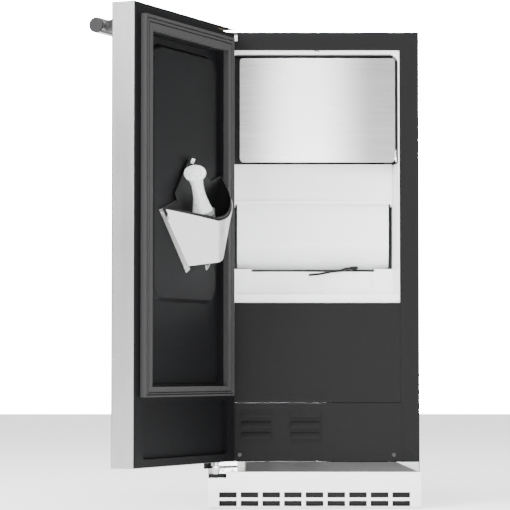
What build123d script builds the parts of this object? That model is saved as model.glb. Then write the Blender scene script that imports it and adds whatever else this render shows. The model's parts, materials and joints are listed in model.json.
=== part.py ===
"""Undercounter clear-ice maker, 15-inch class, with its door standing open.

Frame: +X to the right of someone facing the machine, -Y towards them, +Z up.
The origin is the centre of the cabinet's footprint at floor level.
All sizes are millimetres and degrees.
"""
from build123d import *
from math import asin, cos, radians, sin
import os

os.makedirs("parts", exist_ok=True)

# ---------------------------------------------------------------- driving sizes
# cabinet
cab_width = 378.0
cab_depth = 560.0
cab_height = 854.0
shell_sheet = 1.0
base_z = 24.0            # underside of the base pan
comp_setback = 170.0     # cabinet back to the compressor's axis
pan_sheet = 1.2
seat_gap = 0.3           # clearance between neighbouring still pieces

# face of the cabinet
frame_sheet = 1.2
stile_width = 34.0
rail_height = 32.0
frame_return = 14.0
frame_bottom = 82.0
panel_sheet = 1.2
louver_panel_height = 104.5
seal_panel_height = 178.6
panel_reveal = 0.8       # open line between stacked panels

# ice compartment liner
liner_inset = 4.0        # rim behind the cabinet's face
liner_wall = 2.2
liner_back_y = 180.0
recess_depth = 60.0      # cabinet face to the header and flap
recess_side = 10.0       # thickness of the side walls beside the flap
ledge_height = 15.0      # rim bottom to the recess ledge
bin_floor = 4.0          # ledge to the bin floor
mouth_top = 6.5          # rim top to the upper mouth
mouth_radius = 16.0
bin_wall_height = 43.0
bin_wall = 14.0
wall_end = 112.0         # middle to the raised end of the bin's front wall
wall_end_rise = 5.0
pad_inner = 17.0         # middle to a raised pad's inner side
pad_outer = 106.0
pad_proud = 4.0
pad_radius = 13.0
rib_width = 19.0
rib_height = 34.0

# header, evaporator cover and flap
header_height = 73.0
header_z = 547.0
header_sheet = 3.0
cover_left = -133.0
cover_right = 148.0
cover_sheet = 1.2
cover_return = 22.0
cover_inset = 24.0       # cabinet face to the cover
cover_radius = 6.0
flap_width = 276.0
flap_sheet = 3.0
flap_drop = 124.0
flap_curve = 60.0
flap_bend_share = 0.8     # height of the lower bend over its radius
flap_inset = 66.0        # cabinet face to the flap
pivot_pin = 6.0
turning_clearance = 0.05

# door
door_width = 376.0
door_height = 770.0
skin_depth = 43.0
skin_sheet = 1.0
door_liner_depth = 12.0
door_liner_proud = 2.0
gasket_depth = 9.6
gasket_width = 25.0
gasket_inset = 20.0
gasket_bottom = 116.5    # door bottom to the gasket's lower run
gasket_bottom_run = 17.0
gasket_top = 19.0
recess_margin = 4.0
recess_floor = 9.0
plateau_raise = 7.0
plateau_side = 22.0
plateau_bottom = 143.0
plateau_top = 16.0
pocket_depth = 9.0
hinge_edge = 14.0        # hinge axis to the door's edge
hinge_face = 15.0        # hinge axis to the door's outer face
door_open = 115.3        # how far the door stands open
hinge_pin = 8.0
hinge_plate = 4.0
hinge_slot = 7.3
bush_wall = 4.0
bush_length = 22.0

# handle
handle_diameter = 26.0
handle_standoff = 47.0
handle_inset = 31.0
handle_drop = 31.0       # door top to the bar's axis
post_diameter = 20.0
post_foot_diameter = 34.0
end_cap = 4.0

# toe grille
grille_depth = 38.0
grille_height = 65.0
grille_bottom = 2.5
grille_sheet = 1.2
slot_columns = 9
slot_width = 31.5
slot_height = 9.5
slot_pitch_x = 38.4
slot_pitch_z = 15.2

# levelling feet
foot_diameter = 36.0
foot_stem = 10.0
foot_inset = 42.0
pad_height = 8.0
stem_top = 60.0

# ---------------------------------------------------------------- derived places
front_y = -cab_depth / 2
back_y = cab_depth / 2
half_width = cab_width / 2
opening_x = half_width - stile_width
rail_z = cab_height - rail_height
louver_panel_top = frame_bottom + louver_panel_height
seal_panel_bottom = louver_panel_top + panel_reveal
seal_panel_top = seal_panel_bottom + seal_panel_height
rim_x = opening_x - seat_gap
rim_bottom = seal_panel_top + seat_gap
rim_top = rail_z - seat_gap
rim_y = front_y + liner_inset
recess_y = front_y + recess_depth
upper_x = rim_x - liner_wall
lower_x = rim_x - recess_side
ledge_z = rim_bottom + ledge_height
floor_z = ledge_z + bin_floor
upper_z = rim_top - mouth_top
header_top = header_z + header_height
cavity_back = liner_back_y - liner_wall

door_bottom = cab_height - door_height
door_thickness = skin_depth + door_liner_proud + gasket_depth
closed_gap = 0.4         # gasket to the cabinet's face with the door shut
pivot_x = -half_width + hinge_edge
pivot_y = front_y - closed_gap - door_thickness + hinge_face


# ---------------------------------------------------------------- planes and helpers
def front_plane(y):
    """Plane facing the front at depth y: local x is X, local y is Z."""
    return Plane.XZ.offset(-y)


def level(z):
    """Horizontal plane at height z."""
    return Plane.XY.offset(z)


def side_plane(x):
    """Plane facing +X at x: local x is Y, local y is Z."""
    return Plane.YZ.offset(x)


def span(x0, x1, y0, y1, mode=Mode.ADD):
    """A rectangle of the sketch between two corners."""
    with Locations(((x0 + x1) / 2, (y0 + y1) / 2)):
        Rectangle(x1 - x0, y1 - y0, mode=mode)


def block(x0, x1, y0, y1, z0, z1, mode=Mode.ADD):
    """A box of the part between two corners."""
    with Locations(((x0 + x1) / 2, (y0 + y1) / 2, (z0 + z1) / 2)):
        Box(x1 - x0, y1 - y0, z1 - z0, mode=mode)


def rod(plane, radius, length, mode=Mode.ADD, at=(0, 0)):
    """A round bar from a plane along its normal."""
    with BuildSketch(plane) as disc:
        with Locations(at):
            Circle(radius)
    extrude(disc.sketch, amount=length, mode=mode)


door_along = Vector(cos(radians(door_open)), -sin(radians(door_open)), 0)
door_inward = Vector(sin(radians(door_open)), cos(radians(door_open)), 0)
door_up = Vector(0, 0, 1)


def door_point(w, t, z):
    """Place on the open door: w from its hinge edge, t behind its outer face."""
    start = Vector(pivot_x, pivot_y, z)
    return start + door_along * (w - hinge_edge) + door_inward * (t - hinge_face)


def door_face(t):
    """Plane of the door at depth t, facing outwards: local x is w, local y is Z."""
    return Plane(origin=door_point(0, t, 0), x_dir=door_along, z_dir=door_inward * -1)


def door_level(z):
    """Horizontal plane of the door: local x is w, local y is t."""
    return Plane(origin=door_point(0, 0, z), x_dir=door_along, z_dir=door_up)


def finish(builder, name):
    """Label a finished piece and write its file."""
    builder.part.label = name
    export_step(builder.part, f"parts/{name}.step")


# ---------------------------------------------------------------- cabinet casing
with BuildPart() as outer_shell:
    with BuildSketch(front_plane(front_y + frame_sheet)):
        span(-half_width, half_width, base_z, cab_height)
        inner_x = half_width - shell_sheet
        span(-inner_x, inner_x, base_z, cab_height - shell_sheet, mode=Mode.SUBTRACT)
    extrude(amount=-(cab_depth - frame_sheet - shell_sheet))
finish(outer_shell, "outer_shell")

inlet_x = -110.0
inlet_z = 150.0
inlet_radius = 13.5      # three-quarter-inch hose thread
drain_x = -40.0
drain_z = 70.0
drain_radius = 8.0
gland_x = 115.0
gland_z = 110.0
gland_radius = 11.0
back_vent_rows = 9
back_vent_pitch = 22.0
back_vent_z = 245.0

with BuildPart() as back_panel:
    with BuildSketch(front_plane(back_y)):
        span(-half_width, half_width, base_z, cab_height)
        with Locations((inlet_x, inlet_z)):
            Circle(inlet_radius + 1, mode=Mode.SUBTRACT)
        with Locations((drain_x, drain_z)):
            Circle(drain_radius + 1, mode=Mode.SUBTRACT)
        with Locations((gland_x, gland_z)):
            Circle(gland_radius, mode=Mode.SUBTRACT)
        with Locations((40, back_vent_z - 40)):
            with GridLocations(70, back_vent_pitch, 3, back_vent_rows):
                SlotOverall(56, 7, mode=Mode.SUBTRACT)
    extrude(amount=shell_sheet)
finish(back_panel, "back_panel")

pan_x = half_width - shell_sheet - seat_gap
pan_front_y = front_y + frame_sheet
foot_places = [
    (x, y)
    for x in (-half_width + foot_inset, half_width - foot_inset)
    for y in (front_y + foot_inset, back_y - foot_inset)
]
nut_height = 12.0

with BuildPart() as base_pan:
    pan_back = back_y - shell_sheet - seat_gap
    block(-pan_x, pan_x, pan_front_y, pan_back, base_z, base_z + pan_sheet)
    block(-pan_x, pan_x, pan_front_y, pan_front_y + pan_sheet, base_z, frame_bottom - panel_reveal)
    block(-pan_x, pan_x, pan_back - pan_sheet, pan_back, base_z, base_z + 22)
    for edge in (-pan_x, pan_x - pan_sheet):
        block(edge, edge + pan_sheet, pan_front_y, pan_back, base_z, base_z + 22)
    with Locations(*[(x, y, base_z + nut_height / 2) for x, y in foot_places]):
        Cylinder(foot_stem, nut_height)
    with Locations(*[(x, y, base_z + nut_height / 2) for x, y in foot_places]):
        Cylinder(foot_stem / 2 + turning_clearance, nut_height + 2, mode=Mode.SUBTRACT)
finish(base_pan, "base_pan")

foot_names = ["foot_front_left", "foot_rear_left", "foot_front_right", "foot_rear_right"]
for foot_name, (x, y) in zip(foot_names, foot_places):
    with BuildPart() as foot:
        with BuildSketch(level(0)):
            with Locations((x, y)):
                Circle(foot_diameter / 2)
        extrude(amount=pad_height)
        fillet(foot.edges().group_by(Axis.Z)[-1], 2)
        with BuildSketch(level(pad_height)):
            with Locations((x, y)):
                RegularPolygon(foot_stem * 0.85, 6)
        extrude(amount=base_z - seat_gap - pad_height)
        with BuildSketch(level(base_z - seat_gap)):
            with Locations((x, y)):
                Circle(foot_stem / 2)
        extrude(amount=stem_top - base_z + seat_gap)
    finish(foot, foot_name)

with BuildPart() as front_frame:
    with BuildSketch(front_plane(front_y)):
        span(-half_width, half_width, frame_bottom, cab_height)
        span(-opening_x, opening_x, frame_bottom, rail_z, mode=Mode.SUBTRACT)
    extrude(amount=-frame_sheet)
    with BuildSketch(front_plane(front_y + frame_sheet)):
        lip_x = opening_x + frame_sheet
        span(-lip_x, lip_x, frame_bottom, rail_z + frame_sheet)
        span(-opening_x, opening_x, frame_bottom, rail_z, mode=Mode.SUBTRACT)
    extrude(amount=-frame_return)
finish(front_frame, "front_frame")

foam_y = front_y + frame_sheet + frame_return + seat_gap
foam_bottom = seal_panel_top - 26

with BuildPart() as insulation:
    foam_x = half_width - shell_sheet - seat_gap
    foam_top = cab_height - shell_sheet - seat_gap
    block(-foam_x, foam_x, foam_y, back_y - 8, foam_bottom, foam_top)
    block(
        -rim_x - seat_gap, rim_x + seat_gap, foam_y, liner_back_y + seat_gap,
        rim_bottom - seat_gap, rim_top + seat_gap, mode=Mode.SUBTRACT,
    )
finish(insulation, "insulation")

# ---------------------------------------------------------------- ice compartment
bin_wall_top = ledge_z + bin_wall_height
flap_pivot_y = front_y + flap_inset + 4
flap_pivot_z = header_z + 3
boss_radius = 7.0
boss_gap = 1.0
flap_edge = flap_width / 2

with BuildPart() as bin_liner:
    block(-rim_x, rim_x, rim_y, liner_back_y, rim_bottom, rim_top)
    # upper mouth, where the evaporator sits
    with BuildSketch(front_plane(rim_y)) as upper_mouth:
        span(-upper_x, upper_x, header_top - 2, upper_z)
        fillet(upper_mouth.vertices().group_by(Axis.Y)[-1], mouth_radius)
    extrude(amount=-(cavity_back - rim_y), mode=Mode.SUBTRACT)
    # drafted recess in front of the header and the flap
    with BuildSketch(front_plane(rim_y)):
        span(-upper_x, upper_x, ledge_z, header_top)
    with BuildSketch(front_plane(recess_y)):
        span(-lower_x, lower_x, ledge_z, header_top)
    loft(mode=Mode.SUBTRACT)
    # ice bin behind it
    block(-lower_x, lower_x, recess_y, cavity_back, floor_z, header_top, mode=Mode.SUBTRACT)
    # low front wall with raised ends, two raised pads and a rib between them
    with BuildSketch(front_plane(recess_y + pad_proud)):
        span(-lower_x, lower_x, ledge_z, bin_wall_top)
        span(-lower_x, -wall_end, ledge_z, bin_wall_top + wall_end_rise)
        span(wall_end, lower_x, ledge_z, bin_wall_top + wall_end_rise)
    extrude(amount=-(bin_wall - pad_proud))
    with BuildSketch(front_plane(recess_y)) as raised_pads:
        for side in (-1, 1):
            span(min(side * pad_inner, side * pad_outer), max(side * pad_inner, side * pad_outer),
                 ledge_z, bin_wall_top)
        fillet(raised_pads.vertices().group_by(Axis.Y)[-1], pad_radius)
        span(-rib_width / 2, rib_width / 2, ledge_z, ledge_z + rib_height)
    extrude(amount=-pad_proud - 1)
    # pivot bosses of the flap
    for side in (-1, 1):
        with BuildSketch(side_plane(side * (flap_edge + boss_gap + 2.5))):
            with Locations((flap_pivot_y, flap_pivot_z)):
                Circle(boss_radius)
        extrude(amount=side * (lower_x - flap_edge - boss_gap - 2))
    with BuildSketch(side_plane(-lower_x)):
        with Locations((flap_pivot_y, flap_pivot_z)):
            Circle(pivot_pin / 2)
    extrude(amount=2 * lower_x, mode=Mode.SUBTRACT)
finish(bin_liner, "bin_liner")

header_x = lower_x - seat_gap
lip_height = 7.5
lip_depth = 4.0

with BuildPart() as header_panel:
    block(-header_x, header_x, recess_y, recess_y + header_sheet, header_z, header_top)
    block(-header_x, header_x, recess_y - lip_depth, recess_y, header_z, header_z + lip_height)
    fillet(header_panel.edges().filter_by(Axis.X).group_by(Axis.Y)[0], 1.5)
    block(-header_x, header_x, recess_y, recess_y + 30, header_top - header_sheet, header_top)
finish(header_panel, "header_panel")

cover_y = front_y + cover_inset
cover_bottom = header_top + 2.0
cover_top = upper_z - 5.0

with BuildPart() as evaporator_cover:
    with BuildSketch(front_plane(cover_y)) as cover_outline:
        span(cover_left, cover_right, cover_bottom, cover_top)
        fillet(cover_outline.vertices(), cover_radius)
    extrude(amount=-cover_return)
    with BuildSketch(front_plane(cover_y + cover_sheet)) as cover_inside:
        span(cover_left + cover_sheet, cover_right - cover_sheet,
             cover_bottom + cover_sheet, cover_top - cover_sheet)
        fillet(cover_inside.vertices(), cover_radius - cover_sheet)
    extrude(amount=-cover_return, mode=Mode.SUBTRACT)
finish(evaporator_cover, "evaporator_cover")

housing_sheet = 2.0
housing_x = upper_x - seat_gap
housing_y = cover_y + cover_return - 6
housing_back = cavity_back - 12
housing_bottom = header_top + 0.5
housing_top = upper_z - seat_gap
housing_lip = 14.0

with BuildPart() as evaporator_housing:
    with BuildSketch(front_plane(cover_y - 6)) as housing_outline:
        span(-housing_x, housing_x, housing_bottom, housing_top)
        fillet(housing_outline.vertices().group_by(Axis.Y)[-1], mouth_radius)
    extrude(amount=-(housing_back - cover_y + 6))
    block(-housing_x + housing_sheet, housing_x - housing_sheet, cover_y - 7, housing_back - housing_sheet,
          housing_bottom - 1, housing_top - housing_sheet, mode=Mode.SUBTRACT)
    with BuildSketch(front_plane(housing_y + 8)) as housing_frame:
        span(-housing_x, housing_x, housing_bottom, housing_top)
        fillet(housing_frame.vertices().group_by(Axis.Y)[-1], mouth_radius)
        span(cover_left + 4, cover_right - 4, housing_bottom, housing_top - housing_lip,
             mode=Mode.SUBTRACT)
    extrude(amount=-housing_sheet)
finish(evaporator_housing, "evaporator_housing")

# the freezing plate slopes down towards the front, over the cutter grid
plate_tilt = 12.0
plate_width = 252.0
plate_length = 250.0
plate_sheet = 4.0
plate_y = -40.0
plate_z = 700.0
coil_diameter = 8.0
coil_runs = 7
coil_pitch = 30.0
plate_plane = Plane(
    origin=(0, plate_y, plate_z),
    x_dir=(1, 0, 0),
    z_dir=(0, -sin(radians(plate_tilt)), cos(radians(plate_tilt))),
)

with BuildPart() as evaporator_plate:
    with BuildSketch(plate_plane):
        Rectangle(plate_width, plate_length)
    extrude(amount=plate_sheet)
    with BuildSketch(plate_plane.offset(plate_sheet)):
        Rectangle(plate_width, plate_length)
        Rectangle(plate_width - 4, plate_length + 2, mode=Mode.SUBTRACT)
    extrude(amount=14)
finish(evaporator_plate, "evaporator_plate")

coil_plane = plate_plane.offset(-coil_diameter / 2)
run_half = plate_width / 2 - 30
with BuildPart() as evaporator_coil:
    with BuildLine(coil_plane) as coil_path:
        for run in range(coil_runs):
            run_y = (run - (coil_runs - 1) / 2) * coil_pitch
            heading = 1 if run % 2 == 0 else -1
            Line((-heading * run_half, run_y), (heading * run_half, run_y))
            if run < coil_runs - 1:
                ThreePointArc(
                    (heading * run_half, run_y),
                    (heading * (run_half + coil_pitch / 2), run_y + coil_pitch / 2),
                    (heading * run_half, run_y + coil_pitch),
                )
    with BuildSketch(Plane(origin=coil_path.wires()[0] @ 0, z_dir=coil_path.wires()[0] % 0)):
        Circle(coil_diameter / 2)
    sweep()
finish(evaporator_coil, "evaporator_coil")

tube_radius = 8.0
tube_half = plate_width / 2 - 4
with BuildPart() as water_distributor:
    spray_plane = side_plane(-tube_half)
    rod(spray_plane, tube_radius, 2 * tube_half, at=(plate_y + 112, plate_z + 58))
    rod(spray_plane.offset(3), tube_radius - 2, 2 * tube_half - 6, mode=Mode.SUBTRACT,
        at=(plate_y + 112, plate_z + 58))
    with Locations((0, plate_y + 112, plate_z + 58 - tube_radius)):
        with GridLocations(16, 1, 15, 1):
            Cylinder(1.2, 8, mode=Mode.SUBTRACT)
finish(water_distributor, "water_distributor")

grid_bar = 8.0
grid_depth = 200.0
grid_z = header_top - 24
grid_front = flap_pivot_y + 60
wire_pitch = 24.0
wire_radius = 0.8
grid_x = 126.0

with BuildPart() as cutter_frame:
    block(-grid_x, grid_x, grid_front, grid_front + grid_depth, grid_z, grid_z + 16)
    block(-grid_x + grid_bar, grid_x - grid_bar, grid_front + grid_bar, grid_front + grid_depth - grid_bar,
          grid_z - 1, grid_z + 17, mode=Mode.SUBTRACT)
finish(cutter_frame, "cutter_frame")

wire_x = grid_x - grid_bar
wire_y0 = grid_front + grid_bar
wire_y1 = grid_front + grid_depth - grid_bar
with BuildPart() as cutter_wires:
    wire_mid = (wire_y0 + wire_y1) / 2
    with Locations((0, wire_mid, grid_z + 11)):
        with GridLocations(wire_pitch, 1, 9, 1):
            Cylinder(wire_radius, wire_y1 - wire_y0, rotation=(90, 0, 0))
    with Locations((0, wire_mid, grid_z + 5)):
        with GridLocations(1, wire_pitch, 1, 7):
            Cylinder(wire_radius, 2 * wire_x, rotation=(0, 90, 0))
finish(cutter_wires, "cutter_wires")

trough_wall = 2.5
trough_x = 128.0
trough_y0 = recess_y + header_sheet + 8
trough_y1 = trough_y0 + 46
trough_z = flap_pivot_z + 14

with BuildPart() as water_reservoir:
    block(-trough_x, trough_x, trough_y0, trough_y1, trough_z, header_top - 10)
    block(-trough_x + trough_wall, trough_x - trough_wall, trough_y0 + trough_wall, trough_y1 - trough_wall,
          trough_z + trough_wall, header_top, mode=Mode.SUBTRACT)
finish(water_reservoir, "water_reservoir")

pump_x = 96.0
pump_y = (trough_y0 + trough_y1) / 2
pump_radius = 15.0
impeller_radius = 11.0
impeller_z = trough_z + 8
pump_shaft = 2.0
pump_leg = 1.5

with BuildPart() as water_pump:
    rod(Plane(origin=(pump_x, pump_y, trough_z + 24)), pump_radius, 26)
    for corner in range(3):
        leg_angle = radians(120 * corner)
        leg_x = pump_x + (pump_radius - 1.6 * pump_leg) * cos(leg_angle)
        leg_y = pump_y + (pump_radius - 1.6 * pump_leg) * sin(leg_angle)
        rod(Plane(origin=(leg_x, leg_y, trough_z + trough_wall)), pump_leg, 25 - trough_wall)
    rod(Plane(origin=(pump_x, pump_y, trough_z + 23)), pump_shaft + turning_clearance, 10,
        mode=Mode.SUBTRACT)
finish(water_pump, "water_pump")

with BuildPart() as pump_impeller:
    rod(Plane(origin=(pump_x, pump_y, impeller_z)), 4, 8)
    rod(Plane(origin=(pump_x, pump_y, impeller_z)), impeller_radius, 1.5)
    rod(Plane(origin=(pump_x, pump_y, impeller_z + 8)), pump_shaft, 17)
    with Locations((pump_x, pump_y, impeller_z + 4)):
        with PolarLocations(impeller_radius / 2 + 1, 6):
            Box(impeller_radius - 3, 1.5, 6)
finish(pump_impeller, "pump_impeller")

seal_y = flap_pivot_y + 8
with BuildPart() as bin_mouth_seal:
    for side in (-1, 1):
        outer = side * (lower_x - 0.2)
        inner = side * (flap_edge + 2.5)
        block(min(outer, inner), max(outer, inner), seal_y, seal_y + 5,
              bin_wall_top + 2, flap_pivot_z - boss_radius - 1)
finish(bin_mouth_seal, "bin_mouth_seal")

flap_y = front_y + flap_inset
flap_straight = flap_drop - flap_curve * flap_bend_share
flap_turn = asin(flap_bend_share)
flap_top = flap_pivot_z + 3
bend_z = flap_top - flap_straight


def flap_point(radius, turn):
    """A point of the flap's lower curve in the YZ section."""
    return (flap_y + flap_curve - radius * cos(turn), bend_z - radius * sin(turn))


inner_curve = flap_curve - flap_sheet
with BuildPart() as bin_flap:
    with BuildSketch(side_plane(-flap_edge)):
        with BuildLine():
            Line((flap_y, flap_top), (flap_y, bend_z))
            ThreePointArc(flap_point(flap_curve, 0), flap_point(flap_curve, flap_turn / 2),
                          flap_point(flap_curve, flap_turn))
            Line(flap_point(flap_curve, flap_turn), flap_point(inner_curve, flap_turn))
            ThreePointArc(flap_point(inner_curve, flap_turn), flap_point(inner_curve, flap_turn / 2),
                          flap_point(inner_curve, 0))
            Line((flap_y + flap_sheet, bend_z), (flap_y + flap_sheet, flap_top))
            Line((flap_y + flap_sheet, flap_top), (flap_y, flap_top))
        make_face()
    extrude(amount=flap_width)
    for side in (-1, 1):
        ear_start = side * flap_edge - (6 if side > 0 else 0)
        with BuildSketch(side_plane(ear_start)):
            with Locations((flap_pivot_y, flap_pivot_z)):
                Circle(5.5)
            span(flap_y + 1, flap_pivot_y + 5, flap_pivot_z - 5.5, flap_top)
        extrude(amount=6)
    with BuildSketch(side_plane(-flap_edge)):
        with Locations((flap_pivot_y, flap_pivot_z)):
            Circle(pivot_pin / 2 + turning_clearance)
    extrude(amount=flap_width, mode=Mode.SUBTRACT)
finish(bin_flap, "bin_flap")

with BuildPart() as flap_pins:
    for side in (-1, 1):
        with BuildSketch(side_plane(side * (flap_edge - 6))):
            with Locations((flap_pivot_y, flap_pivot_z)):
                Circle(pivot_pin / 2)
        extrude(amount=side * (lower_x - flap_edge + 6))
finish(flap_pins, "flap_pins")

# the bin's temperature sensor lead lies across the front wall
lead_radius = 2.0
lead_y = recess_y - lead_radius - 0.4
lead_points = [(-8, 418), (12, 420), (32, 424), (50, 426), (60, 430), (70, 430), (80, 426)]
lead_radii = [26, 26, 24, 10, 8]
with BuildPart() as sensor_lead:
    with BuildLine(front_plane(lead_y)) as lead_path:
        FilletPolyline(*lead_points, radius=lead_radii)
    with BuildSketch(Plane(origin=lead_path.wires()[0] @ 0, z_dir=lead_path.wires()[0] % 0)):
        Circle(lead_radius)
    sweep()
finish(sensor_lead, "sensor_lead")

# ---------------------------------------------------------------- front panels
clip_width = 20.0
clip_height = 30.0
clip_x = 11.0
clip_bottom = seal_panel_bottom + 1.5

with BuildPart() as seal_panel:
    panel_x = opening_x - seat_gap
    block(-panel_x, panel_x, front_y, front_y + panel_sheet, seal_panel_bottom, seal_panel_top)
    block(-panel_x, panel_x, front_y, front_y + 14, seal_panel_top - panel_sheet, seal_panel_top)
    block(clip_x - clip_width / 2, clip_x + clip_width / 2, front_y - 1, front_y + panel_sheet,
          clip_bottom, clip_bottom + clip_height, mode=Mode.SUBTRACT)
finish(seal_panel, "seal_panel")

with BuildPart() as panel_clip:
    block(clip_x - clip_width / 2, clip_x + clip_width / 2, front_y, front_y + 6,
          clip_bottom, clip_bottom + clip_height)
    block(clip_x - clip_width / 2 + 3, clip_x + clip_width / 2 - 3, front_y - 1, front_y + 1,
          clip_bottom + 3, clip_bottom + clip_height - 12, mode=Mode.SUBTRACT)
finish(panel_clip, "panel_clip")

louver_overlap = 2.8
louver_width = 54.0
louver_height = 13.5
louver_proud = 5.0
louver_columns = (-103.0, -15.5)
louver_rows = (167.0, 147.7, 128.4)
louver_y = front_y - panel_sheet

with BuildPart() as louver_panel:
    panel_x = opening_x + louver_overlap
    block(-panel_x, panel_x, louver_y, front_y, frame_bottom + 0.5, louver_panel_top)
    for column in louver_columns:
        for row in louver_rows:
            x0 = column - louver_width / 2
            z0 = row - louver_height / 2
            block(x0 + 2, x0 + louver_width - 2, louver_y - 1, front_y + 1,
                  z0, z0 + louver_height - 5, mode=Mode.SUBTRACT)
            with BuildSketch(side_plane(x0)):
                with BuildLine():
                    Polyline((louver_y, z0 + louver_height), (louver_y - louver_proud, z0 + 4),
                             (louver_y - louver_proud, z0), (louver_y, z0), close=True)
                make_face()
            extrude(amount=louver_width)
            with BuildSketch(side_plane(x0 + 1)):
                with BuildLine():
                    Polyline((louver_y + 0.2, z0 + louver_height - 4), (louver_y - louver_proud + 1, z0 + 3.4),
                             (louver_y - louver_proud + 1, z0 - 1), (louver_y + 0.2, z0 - 1), close=True)
                make_face()
            extrude(amount=louver_width - 2, mode=Mode.SUBTRACT)
finish(louver_panel, "louver_panel")

screw_radius = 3.5
screw_head = 1.6


def screw_places():
    """Front panel and back panel screws: x, z and which face they are on."""
    for x in (-opening_x + 22, opening_x - 12):
        yield x, frame_bottom + 12, louver_y, -1
    for x in (-half_width + 8, half_width - 8):
        for z in (60, 300, 560, 820):
            yield x, z, back_y, 1


with BuildPart() as panel_screws:
    for x, z, y, facing in screw_places():
        with BuildSketch(front_plane(y)):
            with Locations((x, z)):
                Circle(screw_radius)
        extrude(amount=-facing * screw_head)
        with BuildSketch(front_plane(y + facing * screw_head)):
            with Locations((x, z)):
                Rectangle(4, 0.8)
                Rectangle(0.8, 4)
        extrude(amount=facing * 0.7, mode=Mode.SUBTRACT)
finish(panel_screws, "panel_screws")

# ---------------------------------------------------------------- toe grille
grille_y = front_y - grille_depth
grille_top_back = frame_bottom - 0.6
notch_x = -half_width + 33.0
notch_z = 54.0
shelf_left = -half_width + 66.0
shelf_right_back = half_width - 44.0
shelf_right_front = half_width - 6.0
band_top = 32.0
band_step = 1.5
slot_z = 15.6

with BuildPart() as toe_grille:
    with BuildSketch(front_plane(grille_y)) as grille_outline:
        span(-half_width, half_width, grille_bottom, grille_height)
        span(-half_width, notch_x, notch_z, grille_height, mode=Mode.SUBTRACT)
    extrude(amount=-grille_sheet)
    # ends returning to the cabinet
    block(-half_width, -half_width + grille_sheet, grille_y, front_y - 1, grille_bottom, notch_z)
    block(half_width - grille_sheet, half_width, grille_y, front_y - 1, grille_bottom, grille_height)
    # foot flange
    block(-half_width, half_width, grille_y, grille_y + 24, grille_bottom, grille_bottom + grille_sheet)
    # slot band stands back a little from the plain band
    band_half = half_width - 14
    block(-band_half, band_half, grille_y - 1, grille_y + band_step, grille_bottom + 2, band_top,
          mode=Mode.SUBTRACT)
    block(-band_half, band_half, grille_y + band_step, grille_y + band_step + grille_sheet,
          grille_bottom, band_top + 2)
    block(-band_half, band_half, grille_y, grille_y + band_step + grille_sheet, band_top,
          band_top + grille_sheet)
    with Locations((0, grille_y + band_step, slot_z + grille_bottom / 2)):
        with GridLocations(slot_pitch_x, 1, slot_columns, 1):
            for row in (-0.5, 0.5):
                with Locations((0, 0, row * slot_pitch_z)):
                    Box(slot_width, 12, slot_height, mode=Mode.SUBTRACT)
    # sloping shelf up to the cabinet's face
    with BuildSketch(side_plane(shelf_left)):
        with BuildLine():
            Polyline((grille_y, grille_height), (front_y - 1.5, grille_top_back),
                     (front_y - 1.5, grille_top_back - grille_sheet),
                     (grille_y, grille_height - grille_sheet), close=True)
        make_face()
    extrude(amount=shelf_right_front - shelf_left)
    with BuildSketch(level(grille_height)):
        with BuildLine():
            Polyline((shelf_right_front, grille_y + grille_sheet), (shelf_right_back, front_y),
                     (shelf_right_front + 1, front_y), (shelf_right_front + 1, grille_y + grille_sheet),
                     close=True)
        make_face()
    extrude(amount=30, both=True, mode=Mode.SUBTRACT)
    block(half_width - grille_sheet, half_width, grille_y, front_y - 1, grille_bottom, grille_height)
finish(toe_grille, "toe_grille")

# ---------------------------------------------------------------- machine compartment
machine_z = base_z + pan_sheet
fin_count = 24
fin_pitch = 7.0
condenser_x = -60.0
condenser_y0 = front_y + 40
condenser_y1 = condenser_y0 + 44
condenser_z0 = machine_z + 34
condenser_z1 = condenser_z0 + 220
condenser_half = fin_count * fin_pitch / 2

with BuildPart() as condenser_fins:
    block(condenser_x - condenser_half, condenser_x + condenser_half, condenser_y0 + 18, condenser_y0 + 26,
          condenser_z0, condenser_z1)
    with Locations((condenser_x, (condenser_y0 + condenser_y1) / 2, (condenser_z0 + condenser_z1) / 2)):
        with GridLocations(fin_pitch, 1, fin_count, 1):
            Box(1.2, condenser_y1 - condenser_y0, condenser_z1 - condenser_z0)
finish(condenser_fins, "condenser_fins")

fan_x = condenser_x
fan_z = (condenser_z0 + condenser_z1) / 2
fan_y = condenser_y1 + 20
fan_radius = 82.0
shroud_bore = fan_radius + 4
fan_shaft = 3.0

with BuildPart() as fan_shroud:
    block(condenser_x - condenser_half, condenser_x + condenser_half, condenser_y1, condenser_y1 + 36,
          condenser_z0, condenser_z1)
    block(condenser_x - condenser_half + 2, condenser_x + condenser_half - 2, condenser_y1 - 1,
          condenser_y1 + 4, condenser_z0 + 2, condenser_z1 - 2, mode=Mode.SUBTRACT)
    rod(front_plane(condenser_y1 + 40), shroud_bore - 6, 60, mode=Mode.SUBTRACT, at=(fan_x, fan_z))
    rod(front_plane(condenser_y1 + 32), shroud_bore - 2, 60, mode=Mode.SUBTRACT, at=(fan_x, fan_z))
finish(fan_shroud, "fan_shroud")

motor_y0 = condenser_y1 + 42
motor_radius = 28.0
with BuildPart() as fan_motor:
    rod(front_plane(motor_y0 + 52), motor_radius, 52, at=(fan_x, fan_z))
    with Locations((fan_x, motor_y0 + 4, fan_z)):
        Box(2 * shroud_bore, 4, 12)
        Box(12, 4, 2 * shroud_bore)
    for turn in range(4):
        arm_x = fan_x + (shroud_bore - 4) * cos(radians(90 * turn))
        arm_z = fan_z + (shroud_bore - 4) * sin(radians(90 * turn))
        rod(front_plane(motor_y0 + 4), 3, motor_y0 + 4 - condenser_y1 - 36, at=(arm_x, arm_z))
    rod(front_plane(motor_y0 + 30), fan_shaft + turning_clearance, 40, mode=Mode.SUBTRACT,
        at=(fan_x, fan_z))
finish(fan_motor, "fan_motor")

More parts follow.
